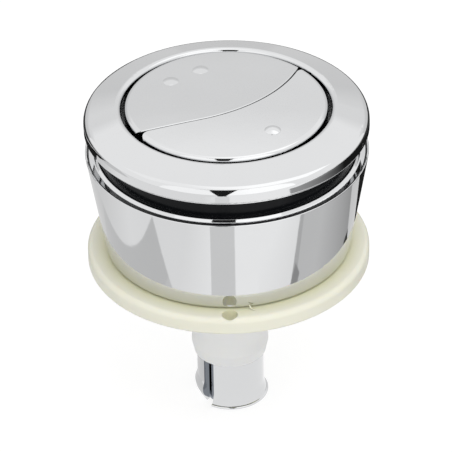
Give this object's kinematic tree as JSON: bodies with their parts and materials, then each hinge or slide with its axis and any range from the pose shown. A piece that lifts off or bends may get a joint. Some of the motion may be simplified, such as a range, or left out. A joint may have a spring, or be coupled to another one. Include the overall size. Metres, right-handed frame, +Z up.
{
  "type": "dual flush cistern push button",
  "caption": "Round dual flush push button in a raised plated housing that clamps through a cistern lid and drives two concentric plungers below.",
  "frame": {"origin": "plunger axis at the cup's base, where the housing sits on the cistern lid", "axes": "+Z up along the plunger axis out of the lid, -Y towards the viewer"},
  "size_m": [0.0746, 0.0746, 0.093],
  "materials": {
    "bezel_chrome": "bright plated",
    "cup_chrome": "bright plated",
    "button_chrome": "bright plated",
    "plunger_chrome": "bright plated",
    "black_plastic": "gloss",
    "white_plastic": "satin",
    "cream_plastic": "satin",
    "steel": "bright"
  },
  "bodies": {
    "housing": {"bezel_ring": "bezel_chrome", "housing_cup": "cup_chrome", "inner_body": "black_plastic", "guide_insert": "white_plastic", "insert_screws": "steel", "full_flush_spring": "steel", "half_flush_spring": "steel"},
    "lid_nut": {"flange_nut": "cream_plastic"},
    "full_flush": {"full_flush_button": "button_chrome", "full_flush_carrier": "white_plastic", "full_flush_screws": "steel", "outer_plunger": "plunger_chrome"},
    "half_flush": {"half_flush_button": "button_chrome", "half_flush_carrier": "white_plastic", "half_flush_screws": "steel", "inner_plunger": "plunger_chrome"}
  },
  "joints": [
    {"name": "full_flush_press", "type": "slide", "parent": "housing", "child": "full_flush", "axis": [0, 0, -1], "range_m": [0, 0.008], "stiffness_N_per_m": 250, "springref_m": -0.012, "deforming": ["full_flush_spring"]},
    {"name": "half_flush_press", "type": "slide", "parent": "housing", "child": "half_flush", "axis": [0, 0, -1], "range_m": [0, 0.008], "stiffness_N_per_m": 250, "springref_m": -0.012, "deforming": ["half_flush_spring"]},
    {"name": "nut_travel", "type": "slide", "parent": "housing", "child": "lid_nut", "axis": [0, 0, -1], "range_m": [0, 0.009]}
  ]
}
